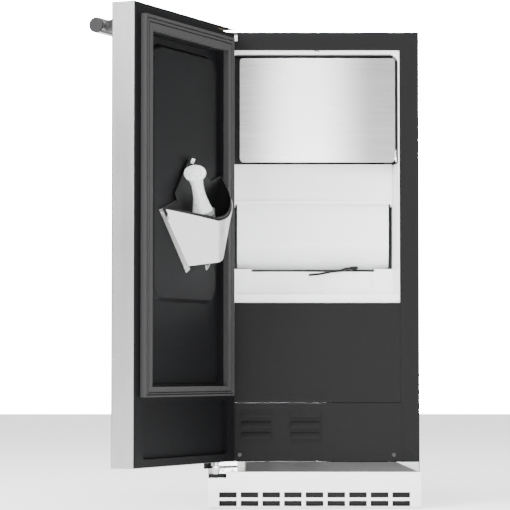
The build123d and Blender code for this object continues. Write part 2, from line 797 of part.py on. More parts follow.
blade_pitch = 28.0
with BuildPart() as fan_blade:
    rod(front_plane(fan_y + 14), 20, 22, at=(fan_x, fan_z))
    rod(front_plane(motor_y0 + 26), fan_shaft, motor_y0 + 26 - fan_y - 14, at=(fan_x, fan_z))
    blade_reach = fan_radius - 18
    for turn in range(5):
        turn_angle = radians(72 * turn)
        radial = Vector(cos(turn_angle), 0, sin(turn_angle))
        blade_centre = Vector(fan_x, fan_y + 3, fan_z) + radial * 18
        blade_plane = Plane(origin=blade_centre, x_dir=(0, 1, 0), z_dir=radial)
        with BuildSketch(blade_plane):
            Rectangle(16, 1.8, rotation=blade_pitch + 30)
        with BuildSketch(blade_plane.offset(blade_reach)):
            Rectangle(30, 1.8, rotation=blade_pitch + 30)
        loft()
finish(fan_blade, "fan_blade")

comp_x = 70.0
comp_y = back_y - comp_setback
comp_radius = 72.0
comp_foot_z = machine_z + 26
with BuildPart() as compressor:
    with BuildSketch(level(comp_foot_z)):
        with Locations((comp_x, comp_y)):
            RectangleRounded(190, 130, 14)
    extrude(amount=4)
    with BuildSketch(level(comp_foot_z + 4)):
        with Locations((comp_x, comp_y)):
            Ellipse(comp_radius + 12, comp_radius - 6)
    extrude(amount=150)
    fillet(compressor.edges().group_by(Axis.Z)[-1], 40)
    with Locations((comp_x, comp_y, comp_foot_z + 2)):
        with GridLocations(164, 104, 2, 2):
            Cylinder(6, 6, mode=Mode.SUBTRACT)
finish(compressor, "compressor")

with BuildPart() as compressor_mounts:
    for i in (-1, 1):
        for j in (-1, 1):
            mount_plane = Plane(origin=(comp_x + i * 82, comp_y + j * 52, machine_z))
            rod(mount_plane, 12, comp_foot_z - machine_z)
            rod(mount_plane.offset(comp_foot_z - machine_z), 6, 4)
            rod(mount_plane.offset(comp_foot_z - machine_z + 4), 9, 5)
finish(compressor_mounts, "compressor_mounts")

with BuildPart() as filter_drier:
    drier_plane = Plane(origin=(-150, 40, machine_z + 60), z_dir=(0, 1, 0), x_dir=(1, 0, 0))
    rod(drier_plane, 11, 90)
    fillet(filter_drier.edges().filter_by(GeomType.CIRCLE), 5)
    rod(drier_plane.offset(-14), 3.2, 18)
    rod(drier_plane.offset(86), 3.2, 18)
finish(filter_drier, "filter_drier")


def pipe(points, radius, bend):
    """A bent tube along straight runs."""
    with BuildLine() as path:
        FilletPolyline(*points, radius=bend)
    start = path.wires()[0]
    with BuildSketch(Plane(origin=start @ 0, z_dir=start % 0)) as ring:
        Circle(radius)
    sweep(ring.sketch, path=path.line)


pipe_radius = 4.0
bend_x = condenser_x + condenser_half + 4
bend_rise = 26.0
with BuildPart() as refrigerant_lines:
    # discharge from the compressor to the condenser
    pipe([(comp_x - comp_radius - 14, comp_y, machine_z + 90), (comp_x - 110, comp_y, machine_z + 90),
          (comp_x - 110, comp_y, machine_z + 280), (comp_x - 110, condenser_y0 + 60, machine_z + 280),
          (condenser_x + condenser_half + 16, condenser_y0 + 60, machine_z + 280)], pipe_radius, 16)
    # suction riser behind the compressor
    pipe([(comp_x + 40, comp_y + comp_radius + 2, machine_z + 120),
          (comp_x + 40, back_y - 40, machine_z + 120),
          (comp_x + 40, back_y - 40, foam_bottom - 6)], pipe_radius, 16)
    # return bends at the condenser's end
    for bend in range(4):
        bend_z = condenser_z0 + 20 + 2 * bend * bend_rise
        with BuildLine(side_plane(bend_x)) as bend_path:
            ThreePointArc((condenser_y0 + 10, bend_z), (condenser_y0 - 3, bend_z + bend_rise / 2),
                          (condenser_y0 + 10, bend_z + bend_rise))
        bend_start = bend_path.wires()[0]
        with BuildSketch(Plane(origin=bend_start @ 0, z_dir=bend_start % 0)) as bend_ring:
            Circle(pipe_radius)
        sweep(bend_ring.sketch, path=bend_path.line)
finish(refrigerant_lines, "refrigerant_lines")

with BuildPart() as control_box:
    block(60, 176, front_y + 40, front_y + 150, machine_z + 60, machine_z + 200)
    fillet(control_box.edges(), 3)
finish(control_box, "control_box")

# ---------------------------------------------------------------- connections at the back
thread_length = 16.0
with BuildPart() as inlet_valve:
    valve_plane = Plane(origin=(inlet_x, back_y - 46, inlet_z), z_dir=(0, 1, 0), x_dir=(1, 0, 0))
    rod(valve_plane, 17, 40)
    rod(valve_plane.offset(40), inlet_radius - 1.2, 6 + thread_length)
    rod(valve_plane.offset(46), inlet_radius, thread_length)
    rod(valve_plane.offset(36), 9.5, 30, mode=Mode.SUBTRACT)
    block(inlet_x - 18, inlet_x + 18, back_y - 46, back_y - 12, inlet_z + 10, inlet_z + 46)
finish(inlet_valve, "inlet_valve")

drain_length = 22.0
drain_collar = 3.0
with BuildPart() as drain_outlet:
    drain_plane = Plane(origin=(drain_x, back_y - 30, drain_z), z_dir=(0, 1, 0), x_dir=(1, 0, 0))
    rod(drain_plane, drain_radius - 0.8, 31)
    rod(drain_plane.offset(30 + 0.2), drain_radius + 5, drain_collar)
    rod(drain_plane.offset(30 + 0.2 + drain_collar), drain_radius, drain_length)
    rod(drain_plane.offset(-1), drain_radius - 2, 60 + drain_length, mode=Mode.SUBTRACT)
finish(drain_outlet, "drain_outlet")

with BuildPart() as cord_gland:
    gland_plane = Plane(origin=(gland_x, back_y - 10, gland_z), z_dir=(0, 1, 0), x_dir=(1, 0, 0))
    rod(gland_plane, gland_radius, 16)
    with BuildSketch(gland_plane.offset(10.2)):
        RegularPolygon(gland_radius + 4, 6)
    extrude(amount=7)
    rod(gland_plane.offset(-1), 4.5, 40, mode=Mode.SUBTRACT)
finish(cord_gland, "cord_gland")

# ---------------------------------------------------------------- cabinet side of the hinges
plate_top_z = cab_height - 3.5
plate_low_z = door_bottom - 8.5
knuckle_radius = 9.0
arm_left = -half_width + 17
arm_right = -half_width + 52
leg_sheet = 3.0
pin_engage = 22.0


def hinge_plate_at(z, leg_z0, leg_z1):
    """A flat arm from the cabinet's face to the hinge axis, with its screwed-on leg."""
    with BuildSketch(level(z)) as arm:
        with BuildLine():
            Polyline((arm_left, front_y - leg_sheet), (pivot_x - knuckle_radius * 0.8, pivot_y + 3),
                     (pivot_x, pivot_y), (pivot_x + knuckle_radius * 0.8, pivot_y - 5),
                     (arm_right, front_y - leg_sheet - 6), (arm_right, front_y - leg_sheet), close=True)
        make_face()
        with Locations((pivot_x, pivot_y)):
            Circle(knuckle_radius)
    extrude(arm.sketch, amount=hinge_plate)
    block(arm_left, arm_right, front_y - leg_sheet, front_y, leg_z0, leg_z1)
    with Locations((pivot_x, pivot_y, z + hinge_plate / 2)):
        Cylinder(hinge_pin / 2, hinge_plate + 2, mode=Mode.SUBTRACT)


with BuildPart() as hinge_plates:
    hinge_plate_at(plate_top_z - hinge_plate, plate_top_z - 13, plate_top_z)
    hinge_plate_at(plate_low_z - hinge_plate, 46, frame_bottom)
finish(hinge_plates, "hinge_plates")

pin_head = 7.5
with BuildPart() as hinge_pins:
    upper_pin = Plane(origin=(pivot_x, pivot_y, plate_top_z - hinge_plate - pin_engage))
    rod(upper_pin, hinge_pin / 2, pin_engage + hinge_plate)
    lower_pin = Plane(origin=(pivot_x, pivot_y, plate_low_z - hinge_plate))
    rod(lower_pin, hinge_pin / 2, door_bottom - plate_low_z + hinge_plate + pin_engage)
    with BuildSketch(lower_pin) as pin_collar:
        Circle(pin_head)
    with BuildSketch(lower_pin.offset(-10)) as pin_tip:
        Circle(pin_head - 2.5)
    loft([pin_collar.sketch, pin_tip.sketch])
finish(hinge_pins, "hinge_pins")

with BuildPart() as hinge_screws:
    for z in (plate_top_z - 8, 58, 66):
        for x in (arm_left + 9, arm_right - 9):
            with BuildSketch(front_plane(front_y - leg_sheet)):
                with Locations((x, z)):
                    Circle(3)
            extrude(amount=2)
            with BuildSketch(front_plane(front_y - leg_sheet - 2)):
                with Locations((x, z)):
                    RegularPolygon(1.6, 6)
            extrude(amount=-1.2, mode=Mode.SUBTRACT)
finish(hinge_screws, "hinge_screws")

with BuildPart() as hinge_cover:
    with BuildSketch(level(notch_z + 0.6)) as cover_plan:
        span(-half_width + 0.5, notch_x - 0.8, pivot_y + knuckle_radius + 6, front_y - leg_sheet - 2.5)
        fillet(cover_plan.vertices(), 4)
    extrude(amount=6)
finish(hinge_cover, "hinge_cover")

# ---------------------------------------------------------------- door
door_top = door_bottom + door_height
slot_z0 = plate_top_z - hinge_plate - 1.2
slot_z1 = slot_z0 + hinge_slot
slot_w = arm_right + half_width + 14
slot_t0 = hinge_face - knuckle_radius - 3
liner_top_t = skin_depth + door_liner_proud
liner_t0 = liner_top_t - door_liner_depth
bush_radius = hinge_pin / 2 + bush_wall


def door_span(t, depth, w0, w1, z0, z1, mode=Mode.ADD, corner=0.0, taper=0.0):
    """A slab of the door between two corners, from depth t inwards."""
    with BuildSketch(door_face(t)) as outline:
        span(w0, w1, z0, z1)
        if corner:
            fillet(outline.vertices(), corner)
    extrude(outline.sketch, amount=-depth, mode=mode, taper=taper)


def hinge_slot_cut():
    """The pocket at the door's top corner that the upper hinge arm turns in."""
    door_span(slot_t0, door_thickness, -2, slot_w, slot_z0, slot_z1, mode=Mode.SUBTRACT)


def pin_bore(z0, z1, radius):
    """A vertical bore on the hinge axis."""
    with BuildSketch(door_level(z0)) as bore:
        with Locations((hinge_edge, hinge_face)):
            Circle(radius)
    extrude(bore.sketch, amount=z1 - z0, mode=Mode.SUBTRACT)


with BuildPart() as door_skin:
    door_span(0, skin_depth, 0, door_width, door_bottom, door_top)
    upright = door_skin.edges().filter_by(Axis.Z)
    fillet(upright.sort_by(lambda edge: edge.center().dot(door_inward))[0:2], 3)
    door_span(skin_sheet, skin_depth, skin_sheet, door_width - skin_sheet, door_bottom + skin_sheet,
              door_top - skin_sheet, mode=Mode.SUBTRACT)
    hinge_slot_cut()
    pin_bore(door_bottom - 1, door_bottom + 2, hinge_pin / 2 + 1)
finish(door_skin, "door_skin")

inside_w0 = skin_sheet + seat_gap
inside_w1 = door_width - skin_sheet - seat_gap
inside_z0 = door_bottom + skin_sheet + seat_gap
inside_z1 = door_top - skin_sheet - seat_gap
upper_bush_z = slot_z0 - bush_length - 0.2
lower_bush_z = inside_z0

with BuildPart() as door_foam:
    door_span(skin_sheet + seat_gap, liner_t0 - skin_sheet - 2 * seat_gap, inside_w0 + 3, inside_w1 - 3,
              inside_z0, inside_z1)
    hinge_slot_cut()
    door_span(0, skin_depth, -1, hinge_edge + bush_radius + 1, upper_bush_z - 1, slot_z1, mode=Mode.SUBTRACT)
    door_span(0, skin_depth, -1, hinge_edge + bush_radius + 1, inside_z0 - 1, lower_bush_z + bush_length + 1,
              mode=Mode.SUBTRACT)
finish(door_foam, "door_foam")

with BuildPart() as hinge_bushes:
    for bush_z in (upper_bush_z, lower_bush_z):
        with BuildSketch(door_level(bush_z)) as bush:
            with Locations((hinge_edge, hinge_face)):
                Circle(bush_radius)
                Circle(hinge_pin / 2 + turning_clearance, mode=Mode.SUBTRACT)
        extrude(bush.sketch, amount=bush_length)
finish(hinge_bushes, "hinge_bushes")

ring_w0 = gasket_inset
ring_w1 = door_width - gasket_inset
ring_z0 = door_bottom + gasket_bottom
ring_z1 = door_top - gasket_top
inner_w0 = ring_w0 + gasket_width
inner_w1 = ring_w1 - gasket_width
inner_z0 = ring_z0 + gasket_bottom_run
inner_z1 = ring_z1 - gasket_width
well_w0 = inner_w0 + recess_margin
well_w1 = inner_w1 - recess_margin
well_z0 = inner_z0 + recess_margin
well_z1 = inner_z1 - recess_margin
well_t = liner_top_t - recess_floor
plateau_z0 = inner_z0 + plateau_bottom
plateau_z1 = inner_z1 - plateau_top
pocket_z0 = door_bottom + 14
pocket_z1 = ring_z0 - 8

with BuildPart() as door_liner:
    door_span(liner_t0, skin_depth - liner_t0, inside_w0, inside_w1, inside_z0, inside_z1)
    door_span(skin_depth, door_liner_proud, skin_sheet, door_width - skin_sheet,
              door_bottom + skin_sheet, door_top - skin_sheet)
    door_span(well_t, door_thickness, well_w0, well_w1, well_z0, well_z1, mode=Mode.SUBTRACT, corner=14)
    door_span(well_t, plateau_raise, inner_w0 + plateau_side, inner_w1 - plateau_side,
              plateau_z0, plateau_z1, corner=34, taper=40)
    door_span(liner_top_t - pocket_depth, door_thickness, ring_w0 + 8, ring_w1 - 8, pocket_z0, pocket_z1,
              mode=Mode.SUBTRACT, corner=8)
    hinge_slot_cut()
    pin_bore(inside_z0 - 1, lower_bush_z + bush_length + 1, bush_radius + 0.5)
    pin_bore(upper_bush_z - 1, slot_z0 + 1, bush_radius + 0.5)
finish(door_liner, "door_liner")

gasket_groove = 2.2
with BuildPart() as door_gasket:
    with BuildSketch(door_face(liner_top_t)) as ring_outline:
        span(ring_w0, ring_w1, ring_z0, ring_z1)
        span(inner_w0, inner_w1, inner_z0, inner_z1, mode=Mode.SUBTRACT)
    extrude(ring_outline.sketch, amount=-gasket_depth)
    for inset in (5.0, 11.0):
        with BuildSketch(door_face(liner_top_t + gasket_depth)) as groove_outline:
            span(ring_w0 + inset, ring_w1 - inset, ring_z0 + inset * 0.6, ring_z1 - inset)
            span(ring_w0 + inset + gasket_groove, ring_w1 - inset - gasket_groove,
                 ring_z0 + inset * 0.6 + gasket_groove, ring_z1 - inset - gasket_groove, mode=Mode.SUBTRACT)
        extrude(groove_outline.sketch, amount=4, mode=Mode.SUBTRACT)
finish(door_gasket, "door_gasket")

with BuildPart() as door_stop:
    door_span(1, 3.5, 12, 34, door_bottom - 13, door_bottom)
finish(door_stop, "door_stop")

# ---------------------------------------------------------------- handle
bar_z = door_top - handle_drop
bar_w0 = handle_inset
bar_w1 = door_width - handle_inset
bar_radius = handle_diameter / 2
post_inset = end_cap + post_foot_diameter / 2 + 1
post_places = (bar_w0 + post_inset, bar_w1 - post_inset)


def along_bar(w):
    """Plane across the handle's bar at w, facing the door's free edge."""
    return Plane(origin=door_point(w, -handle_standoff, bar_z), x_dir=door_inward, z_dir=door_along)


with BuildPart() as handle_bar:
    rod(along_bar(bar_w0 + end_cap), bar_radius, bar_w1 - bar_w0 - 2 * end_cap)
    for w in post_places:
        post_plane = Plane(origin=door_point(w, 0, bar_z), x_dir=door_along, z_dir=door_inward * -1)
        rod(post_plane, post_diameter / 2, handle_standoff - bar_radius + 2.8, mode=Mode.SUBTRACT)
finish(handle_bar, "handle_bar")

with BuildPart() as handle_posts:
    for w in post_places:
        post_plane = Plane(origin=door_point(w, 0, bar_z), x_dir=door_along, z_dir=door_inward * -1)
        rod(post_plane, post_diameter / 2, handle_standoff - bar_radius + 2.8)
        with BuildSketch(post_plane) as post_foot:
            Circle(post_foot_diameter / 2)
        with BuildSketch(post_plane.offset(handle_standoff - bar_radius - 4)) as post_neck:
            Circle(post_diameter / 2)
        loft([post_foot.sketch, post_neck.sketch])
finish(handle_posts, "handle_posts")

with BuildPart() as handle_caps:
    rod(along_bar(bar_w0), bar_radius, end_cap)
    rod(along_bar(bar_w1 - end_cap), bar_radius, end_cap)
    fillet(handle_caps.edges().filter_by(GeomType.CIRCLE).sort_by(SortBy.RADIUS)[:], 1.2)
finish(handle_caps, "handle_caps")

# ---------------------------------------------------------------- scoop holder on the door
holder_w = 140.0
holder_z = 432.0
holder_lean = 12.6
holder_t = well_t + plateau_raise
lean_cos = cos(radians(holder_lean))
lean_sin = sin(radians(holder_lean))
holder_side = door_along * lean_cos - door_up * lean_sin
holder_axis = door_along * lean_sin + door_up * lean_cos
holder_plane = Plane(origin=door_point(holder_w, holder_t, holder_z), x_dir=holder_side, z_dir=holder_axis)
sheet_wall = 1.0
tub_wall = 1.8
holder_low = 41.0
holder_low_depth = 44.0
holder_rise = 190.0
holder_high = 168.0
holder_high_depth = 84.0
plate_apex = 183.0
wing = 10.0


def pouch_section(s, inset):
    """Closed outline of the pouch at height s above its foot, moved in by inset."""
    share = s / holder_rise
    half = holder_low + (holder_high - holder_low) * share - inset * 1.3
    deep = holder_low_depth + (holder_high_depth - holder_low_depth) * share - inset * 1.2
    with BuildSketch(holder_plane.offset(s)) as section:
        with BuildLine():
            Line((half, inset), (0.22 * half, deep * 0.96))
            ThreePointArc((0.22 * half, deep * 0.96), (-0.1 * half, deep), (-0.4 * half, deep * 0.9))
            ThreePointArc((-0.4 * half, deep * 0.9), (-0.74 * half, deep * 0.55), (-0.9 * half, inset))
            Line((-0.9 * half, inset), (half, inset))
        make_face()
    return section.sketch


def pouch(inset, mode=Mode.ADD):
    """The pouch's cone, moved in by inset."""
    loft([pouch_section(-2.0 if inset > 1 else 0.0, inset), pouch_section(holder_rise, inset)], mode=mode)


mouth_slope_side = -0.084
mouth_slope_out = -0.83
mouth_high = 122.0


def mouth_cut(lift):
    """Removes what stands above the pouch's slanting mouth."""
    normal = holder_axis - holder_side * mouth_slope_side - door_inward * mouth_slope_out
    base = holder_plane.origin + holder_axis * (mouth_high + lift)
    with BuildSketch(Plane(origin=base, x_dir=holder_side + holder_axis * mouth_slope_side,
                           z_dir=normal)) as lid:
        Rectangle(600, 600)
    extrude(lid.sketch, amount=260, mode=Mode.SUBTRACT)


holder_face = Plane(origin=holder_plane.origin, x_dir=holder_side, z_dir=door_inward * -1)
foot_rise = 12.0


def foot_cut():
    """Slants the pouch's foot upwards where the scoop's nose looks out."""
    with BuildSketch(holder_face.offset(-sheet_wall - 0.5)) as wedge:
        with BuildLine():
            Polyline((14, -4), (-70, -4), (-70, 2 * foot_rise), (8 - holder_low, foot_rise), close=True)
        make_face()
    extrude(wedge.sketch, amount=-120, mode=Mode.SUBTRACT)


with BuildPart() as holder_sheet:
    pouch(0.0)
    pouch(sheet_wall, mode=Mode.SUBTRACT)
    mouth_cut(0)
    foot_cut()
    # screwed-down wings either side
    with BuildSketch(holder_face) as wings:
        with BuildLine():
            Polyline((-112, 118), (-holder_low - wing, -6), (-holder_low + 6, -6), (-100, 118), close=True)
        make_face()
        with BuildLine():
            Polyline((126, 112), (holder_low + wing, -10), (holder_low - 6, -6), (112, 112), close=True)
        make_face()
    extrude(wings.sketch, amount=-sheet_wall)
finish(holder_sheet, "holder_sheet")

with BuildPart() as holder_tub:
    tub_gap = sheet_wall + 1.4
    pouch(tub_gap)
    pouch(tub_gap + tub_wall, mode=Mode.SUBTRACT)
    mouth_cut(4.0)
    foot_cut()
    # the tub's back runs up to a point that hooks on the door
    with BuildSketch(holder_face.offset(-tub_gap)) as tub_back:
        with BuildLine():
            Polyline((0, plate_apex), (-70, 130), (-40, 100), (60, 100), (70, 130), close=True)
        make_face()
    extrude(tub_back.sketch, amount=-tub_wall)
finish(holder_tub, "holder_tub")

with BuildPart() as holder_screws:
    screw_face = Plane(origin=holder_plane.origin + door_inward * sheet_wall, x_dir=holder_side,
                       z_dir=door_inward * -1)
    for place in ((116.5, 103), (holder_low + 8, 2)):
        with BuildSketch(screw_face) as head:
            with Locations(place):
                Circle(3.2)
        extrude(head.sketch, amount=-1.6)
finish(holder_screws, "holder_screws")

# ---------------------------------------------------------------- ice scoop
scoop_lean = 12.5
scoop_start = holder_plane.origin - holder_axis * 16 - holder_side * 9 + door_inward * 25
scoop_axis = holder_axis * cos(radians(scoop_lean)) + holder_side * sin(radians(scoop_lean))
scoop_side = holder_side * cos(radians(scoop_lean)) - holder_axis * sin(radians(scoop_lean))
scoop_plane = Plane(origin=scoop_start, x_dir=scoop_side, z_dir=scoop_axis)
bowl_length = 108.0
bowl_wall = 2.0
bowl_rings = ((0, 14.5, 14.0), (40, 19.5, 16.5), (bowl_length, 24.0, 20.0))
bowl_mouth = 78.0
handle_length = 185.0


def oval_loft(rings, inset, mode=Mode.ADD):
    """A scoop body through oval sections (place, half width, half depth)."""
    faces = []
    for s, half, deep in rings:
        with BuildSketch(scoop_plane.offset(s)) as ring:
            Ellipse(half - inset, deep - inset)
        faces.append(ring.sketch)
    loft(faces, mode=mode)


with BuildPart() as scoop_bowl:
    oval_loft(bowl_rings, 0)
    hollow_rings = [(-1, bowl_rings[0][1], bowl_rings[0][2]), bowl_rings[1],
                    (bowl_length - bowl_wall, bowl_rings[2][1], bowl_rings[2][2])]
    oval_loft(hollow_rings, bowl_wall, mode=Mode.SUBTRACT)
    # the mouth is cut on the slant
    low_lip = scoop_start - door_inward * bowl_rings[0][2]
    slant = scoop_axis * bowl_mouth + door_inward * (bowl_rings[0][2] + bowl_rings[2][2])
    with BuildSketch(Plane(origin=low_lip, x_dir=scoop_side,
                           z_dir=scoop_side.cross(slant) * -1)) as lip_plane:
        Rectangle(400, 400)
    extrude(lip_plane.sketch, amount=200, mode=Mode.SUBTRACT)
finish(scoop_bowl, "scoop_bowl")

with BuildPart() as scoop_handle:
    oval_loft(((bowl_length + 0.2, 17, 12), (bowl_length + 14, 15, 11), (bowl_length + 40, 11, 9),
               (handle_length - 14, 12, 10), (handle_length - 4, 18, 13), (handle_length, 19, 14)), 0)
finish(scoop_handle, "scoop_handle")
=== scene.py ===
"""Looks of an undercounter clear-ice maker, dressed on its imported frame.

The frame gives every size and place in metres: +X to the right of someone who
faces the machine, -Y towards them, +Z up.
"""
import json
import logging
import math
from abc import ABC, abstractmethod
from dataclasses import dataclass, field
from enum import Enum
from typing import Iterable, Union

import bmesh
import bpy
from mathutils import Matrix, Vector


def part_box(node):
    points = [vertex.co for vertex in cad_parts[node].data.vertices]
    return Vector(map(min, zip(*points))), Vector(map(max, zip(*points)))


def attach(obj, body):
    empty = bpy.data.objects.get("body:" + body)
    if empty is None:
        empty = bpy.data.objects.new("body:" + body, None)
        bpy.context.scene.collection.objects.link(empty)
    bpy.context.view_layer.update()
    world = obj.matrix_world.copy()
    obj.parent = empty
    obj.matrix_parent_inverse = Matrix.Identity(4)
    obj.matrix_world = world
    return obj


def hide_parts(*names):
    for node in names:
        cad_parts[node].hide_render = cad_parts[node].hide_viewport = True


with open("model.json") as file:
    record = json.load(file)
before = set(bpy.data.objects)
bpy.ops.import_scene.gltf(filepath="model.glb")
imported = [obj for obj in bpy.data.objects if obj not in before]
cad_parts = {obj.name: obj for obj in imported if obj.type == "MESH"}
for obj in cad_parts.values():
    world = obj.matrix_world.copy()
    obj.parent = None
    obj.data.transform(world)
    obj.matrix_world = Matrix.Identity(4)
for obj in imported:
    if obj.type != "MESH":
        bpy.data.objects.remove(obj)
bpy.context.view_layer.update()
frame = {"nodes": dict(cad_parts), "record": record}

MM = 0.001
LOG = logging.getLogger("ice_maker")

Colour = tuple[float, float, float]
Operand = Union["Value", float, tuple]


# ---------------------------------------------------------------- shader maths
class Value:
    """A number, colour or vector that comes out of a shader node."""

    def __init__(self, tree: "ShaderTree", socket: bpy.types.NodeSocket) -> None:
        """Keeps the tree and the output socket."""
        self.tree = tree
        self.socket = socket

    def _math(self, operation: str, first: Operand, second: Operand) -> "Value":
        """One Math node.

        Args:
            operation: The Math node's operation.
            first: First operand.
            second: Second operand.

        Returns:
            The result.
        """
        return self.tree.node("ShaderNodeMath", {"operation": operation}, {0: first, 1: second})

    def __add__(self, other: Operand) -> "Value":
        """Sum."""
        return self._math("ADD", self, other)

    def __radd__(self, other: Operand) -> "Value":
        """Sum with the number first."""
        return self._math("ADD", other, self)

    def __sub__(self, other: Operand) -> "Value":
        """Difference."""
        return self._math("SUBTRACT", self, other)

    def __rsub__(self, other: Operand) -> "Value":
        """Difference with the number first."""
        return self._math("SUBTRACT", other, self)

    def __mul__(self, other: Operand) -> "Value":
        """Product."""
        return self._math("MULTIPLY", self, other)

    def __rmul__(self, other: Operand) -> "Value":
        """Product with the number first."""
        return self._math("MULTIPLY", other, self)


class ShaderTree:
    """The nodes of one material, with its Principled shader."""

    def __init__(self, name: str) -> None:
        """Starts an empty material of that name.

        Args:
            name: The material's name.
        """
        self.material = bpy.data.materials.new(name)
        self.material.use_nodes = True
        self.graph = self.material.node_tree
        self.graph.nodes.clear()
        self.shader = self.graph.nodes.new("ShaderNodeBsdfPrincipled")
        output = self.graph.nodes.new("ShaderNodeOutputMaterial")
        self.graph.links.new(self.shader.outputs[0], output.inputs["Surface"])

    def node(self, kind: str, settings: dict[str, object], sockets: dict[object, Operand],
             out: Union[int, str] = 0) -> Value:
        """Adds a node.

        Args:
            kind: The node's type.
            settings: Its properties, set first.
            sockets: Values or links of its inputs, by name or number.
            out: Which output is wanted.

        Returns:
            That output.
        """
        made = self.graph.nodes.new(kind)
        for key, setting in settings.items():
            setattr(made, key, setting)
        for key, value in sockets.items():
            self.connect(made.inputs[key], value)
        return Value(self, made.outputs[out])

    def connect(self, socket: bpy.types.NodeSocket, value: Operand) -> None:
        """Links a value to a socket, or sets it.

        Args:
            socket: The input to fill.
            value: A link, or a number, colour or vector.
        """
        if isinstance(value, Value):
            self.graph.links.new(value.socket, socket)
        else:
            socket.default_value = value

    def surface(self, **sockets: Operand) -> None:
        """Sets the Principled shader's inputs; underscores stand for blanks."""
        for key, value in sockets.items():
            self.connect(self.shader.inputs[key.replace("_", " ")], value)

    def place(self, turn: float = 0.0) -> Value:
        """Object coordinates, turned about Z by that many degrees.

        Args:
            turn: Degrees about Z.

        Returns:
            The turned coordinates.
        """
        spot = self.node("ShaderNodeTexCoord", {}, {}, "Object")
        return self.node("ShaderNodeMapping", {},
                         {"Vector": spot, "Rotation": (0.0, 0.0, math.radians(turn))})

    def stretched(self, spot: Value, scale: Colour) -> Value:
        """The coordinates with each axis scaled."""
        return self.node("ShaderNodeMapping", {}, {"Vector": spot, "Scale": scale})

    def noise(self, spot: Value, scale: float, detail: float = 3.0) -> Value:
        """Cloudy noise from 0 to 1 at that scale per metre."""
        return self.node("ShaderNodeTexNoise", {}, {"Vector": spot, "Scale": scale, "Detail": detail})

    def between(self, share: Value, low: Colour, high: Colour) -> Value:
        """A colour between two, by a share from 0 to 1."""
        return self.node("ShaderNodeMix", {"data_type": "RGBA"},
                         {0: share, 6: (*low, 1.0), 7: (*high, 1.0)}, 2)

    def bump(self, height: Value, depth: float, strength: float = 0.5) -> Value:
        """A normal from a height field of that depth in metres."""
        return self.node("ShaderNodeBump", {}, {"Height": height, "Distance": depth, "Strength": strength})


def toned(colour: Colour, factor: float) -> Colour:
    """The colour made lighter or darker by a factor."""
    return tuple(min(1.0, channel * factor) for channel in colour)


# ---------------------------------------------------------------- finishes
class Grain(Enum):
    """Which way a sheet was brushed: its turn about Z and its stretch."""

    ACROSS = (0.0, (1.0, 60.0, 160.0))
    UP = (0.0, (160.0, 160.0, 1.0))
    DOOR_ACROSS = (115.3, (1.0, 60.0, 160.0))
    DOOR_UP = (115.3, (160.0, 160.0, 1.0))
    DEEP = (0.0, (160.0, 1.0, 160.0))


@dataclass(frozen=True)
class Finish(ABC):
    """A surface finish with its base colour and roughness."""

    name: str
    colour: Colour
    roughness: float

    def material(self) -> bpy.types.Material:
        """The finish's material, made the first time it is asked for.

        Returns:
            The material.
        """
        known = bpy.data.materials.get(self.name)
        if known is not None:
            return known
        tree = ShaderTree(self.name)
        self.shade(tree)
        return tree.material

    @abstractmethod
    def shade(self, tree: ShaderTree) -> None:
        """Fills the material's nodes."""


@dataclass(frozen=True)
class Brushed(Finish):
    """Brushed stainless sheet with its grain, fine scratches and faint smudges."""

    grain: Grain = Grain.ACROSS
    streak: float = 0.12
    depth: float = 0.00012

    def shade(self, tree: ShaderTree) -> None:
        """Grain lines in colour, roughness and relief, over soft handling marks.

        Args:
            tree: The material's nodes.
        """
        turn, stretch = self.grain.value
        spot = tree.place(turn)
        fine = tree.noise(tree.stretched(spot, stretch), 9.0, 4.0)
        broad = tree.noise(tree.stretched(spot, tuple(math.sqrt(s) for s in stretch)), 4.0, 2.0)
        smudge = tree.noise(spot, 7.0, 3.0)
        lines = fine * 0.7 + broad * 0.3
        tree.surface(
            Base_Color=tree.between(lines, toned(self.colour, 1 - self.streak),
                                    toned(self.colour, 1 + self.streak)),
            Metallic=1.0,
            Roughness=lines * 0.16 + smudge * 0.08 + (self.roughness - 0.12),
            Normal=tree.bump(fine, self.depth, 0.35))


@dataclass(frozen=True)
class HighlightPaintedBrushed(Brushed):
    """Brushed sheet with a painted highlight along its middle and painted shade towards both ends."""

    middle: float = 0.0
    reach: float = 0.15
    ends: float = 0.6

    def shade(self, tree: ShaderTree) -> None:
        """The brushed finish, with a painted highlight: colour dimmed towards both ends.

        Args:
            tree: The material's nodes.
        """
        turn, stretch = self.grain.value
        spot = tree.place(turn)
        fine = tree.noise(tree.stretched(spot, stretch), 9.0, 4.0)
        broad = tree.noise(tree.stretched(spot, (1.5, 1.0, 24.0)), 5.0, 3.0)
        across = tree.node("ShaderNodeSeparateXYZ", {}, {0: spot}, "X")
        away = tree.node("ShaderNodeMath", {"operation": "ABSOLUTE"}, {0: across - self.middle})
        # Painted highlight: a band of bright colour along the sheet's middle, fading to dim ends.
        painted_highlight = tree.node("ShaderNodeMapRange", {"interpolation_type": "SMOOTHERSTEP"},
                           {"Value": away, "From Min": 0.0, "From Max": self.reach,
                            "To Min": 1.0, "To Max": 0.0})
        share = painted_highlight * 0.85 + (fine * 0.7 + broad * 0.3) * 0.3 - 0.05
        tree.surface(
            Base_Color=tree.between(share, toned(self.colour, self.ends), self.colour),
            Metallic=1.0,
            Roughness=fine * 0.16 + (self.roughness - 0.08),
            Normal=tree.bump(fine, self.depth, 0.35))


